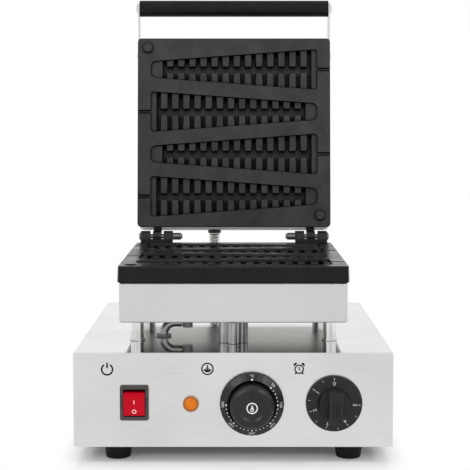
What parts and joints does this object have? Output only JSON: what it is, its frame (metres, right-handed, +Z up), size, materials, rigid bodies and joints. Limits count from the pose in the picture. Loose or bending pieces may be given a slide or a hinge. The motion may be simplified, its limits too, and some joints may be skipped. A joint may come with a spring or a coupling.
{
  "type": "waffle stick maker",
  "caption": "Countertop waffle stick maker: a steel body with switch, lamp, thermostat and timer carries a hinged pair of cast plates with tree-shaped cavities and a handle bar.",
  "frame": {"origin": "on the floor, under the middle of the whole machine at rest with the lid open", "axes": "+X to the right seen from the front, +Y to the rear, +Z up"},
  "size_m": [0.28, 0.3434, 0.4339],
  "materials": {
    "brushed_steel": "brushed",
    "bright_steel": "polished",
    "zinc_steel": "plated",
    "coated_aluminium": "cast, with a baked black non-stick coat",
    "black_plastic": "satin",
    "grip_plastic": "satin",
    "black_rubber": "matt",
    "red_plastic": "gloss",
    "orange_plastic": "translucent gloss",
    "ceramic": "unglazed",
    "fibre": "felted",
    "grey_plastic": "satin"
  },
  "bodies": {
    "base": {"body_shell": "brushed_steel", "bottom_cover": "brushed_steel", "foot_front_left": "black_rubber", "foot_front_right": "black_rubber", "foot_rear_left": "black_rubber", "foot_rear_right": "black_rubber", "post_front_left": "bright_steel", "post_front_right": "bright_steel", "post_rear_left": "bright_steel", "post_rear_right": "bright_steel", "wire_duct": "bright_steel", "heater_conduit": "brushed_steel", "conduit_gland": "black_plastic", "conduit_grommet": "black_rubber", "lower_housing": "brushed_steel", "lower_plate": "coated_aluminium", "lower_heater": "zinc_steel", "lower_heat_shield": "brushed_steel", "lower_insulation": "fibre", "thermostat_body": "ceramic", "thermostat_capillary": "zinc_steel", "thermostat_dial": "black_plastic", "timer_body": "grey_plastic", "switch_housing": "black_plastic", "lamp_lens": "orange_plastic", "lamp_body": "grey_plastic", "terminal_block": "ceramic", "cord_gland": "black_plastic", "hinge_bracket_left": "coated_aluminium", "hinge_bracket_right": "coated_aluminium", "hinge_pin_left": "bright_steel", "hinge_pin_right": "bright_steel", "hose_gland": "black_plastic", "lid_hose": "bright_steel"},
    "lid": {"lid_plate": "coated_aluminium", "lid_housing": "brushed_steel", "lid_cover": "brushed_steel", "lid_heater": "zinc_steel", "lid_heat_shield": "brushed_steel", "lid_insulation": "fibre", "hinge_arm_left": "coated_aluminium", "hinge_arm_right": "coated_aluminium", "lid_gland": "black_plastic", "handle_arm_left": "brushed_steel", "handle_arm_right": "brushed_steel", "arm_screw_left": "bright_steel", "arm_screw_right": "bright_steel", "handle_grip": "grip_plastic", "handle_rod": "bright_steel"},
    "rocker": {"rocker": "red_plastic"},
    "thermostat_knob": {"thermostat_knob": "black_plastic"},
    "timer_knob": {"timer_knob": "black_plastic"}
  },
  "joints": [
    {"name": "lid_hinge", "type": "hinge", "parent": "base", "child": "lid", "pos_m": [0, 0.10397, 0.1766], "axis": [1, 0, 0], "range_deg": [0, 95.5], "deforming": ["lid_hose"]},
    {"name": "rocker_tilt", "type": "hinge", "parent": "base", "child": "rocker", "pos_m": [-0.08635, -0.13723, 0.0562], "axis": [1, 0, 0], "range_deg": [-20, 0]},
    {"name": "thermostat_turn", "type": "hinge", "parent": "base", "child": "thermostat_knob", "pos_m": [0.0163, -0.14923, 0.0555], "axis": [0, 1, 0], "range_deg": [0, 270]},
    {"name": "timer_turn", "type": "hinge", "parent": "base", "child": "timer_knob", "pos_m": [0.088, -0.14923, 0.0558], "axis": [0, 1, 0], "range_deg": [0, 267]}
  ]
}
